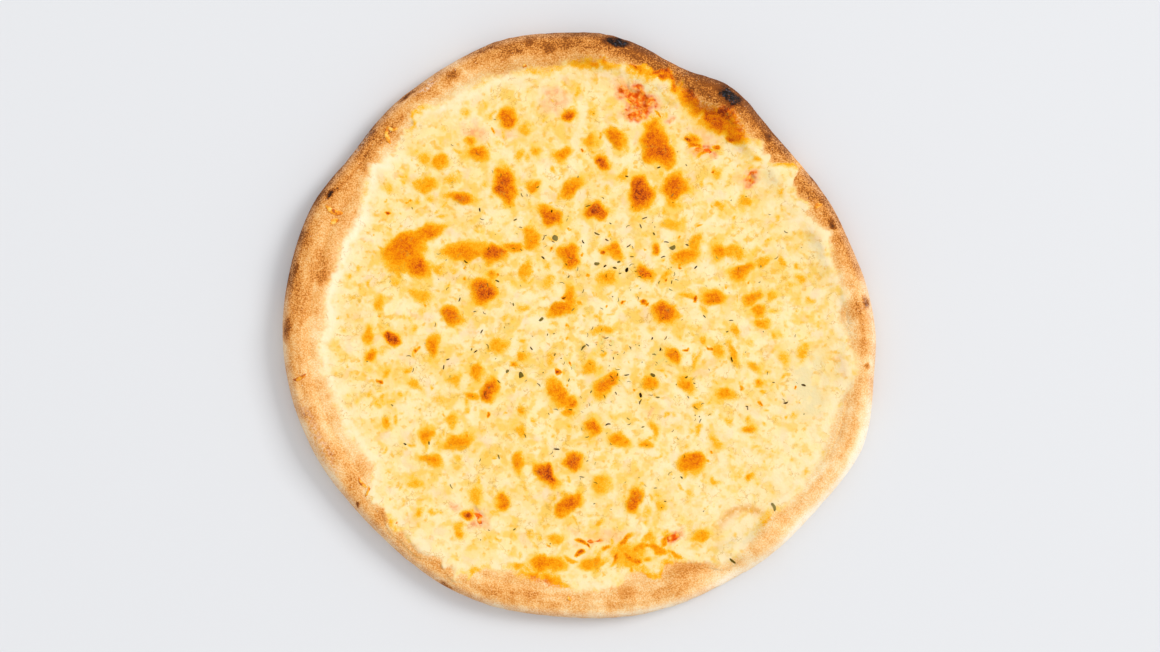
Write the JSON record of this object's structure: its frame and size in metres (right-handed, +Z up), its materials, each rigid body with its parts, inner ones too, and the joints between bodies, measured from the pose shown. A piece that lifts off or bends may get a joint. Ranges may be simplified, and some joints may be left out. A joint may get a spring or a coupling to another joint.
{
  "type": "margherita pizza",
  "caption": "Whole round pizza with a raised browned crust rim, thin tomato sauce and a melted cheese top with toasted blisters and herb flakes.",
  "frame": {"origin": "middle of the crust's outline, on the surface that the pizza lies on", "axes": "+Z up out of the cheese, +X and +Y to the right and to the top of the pizza as it is seen from above"},
  "size_m": [0.299, 0.2951, 0.0203],
  "materials": {
    "crust": "baked wheat dough, dry and finely floured, tan with brown and charred spots",
    "sauce": "cooked tomato sauce, moist and pulpy",
    "cheese": "melted mozzarella, cream yellow with orange-brown toasted blisters and dark dried herb flakes"
  },
  "bodies": {
    "root": {"crust": "crust", "sauce": "sauce", "cheese": "cheese"}
  },
  "joints": []
}
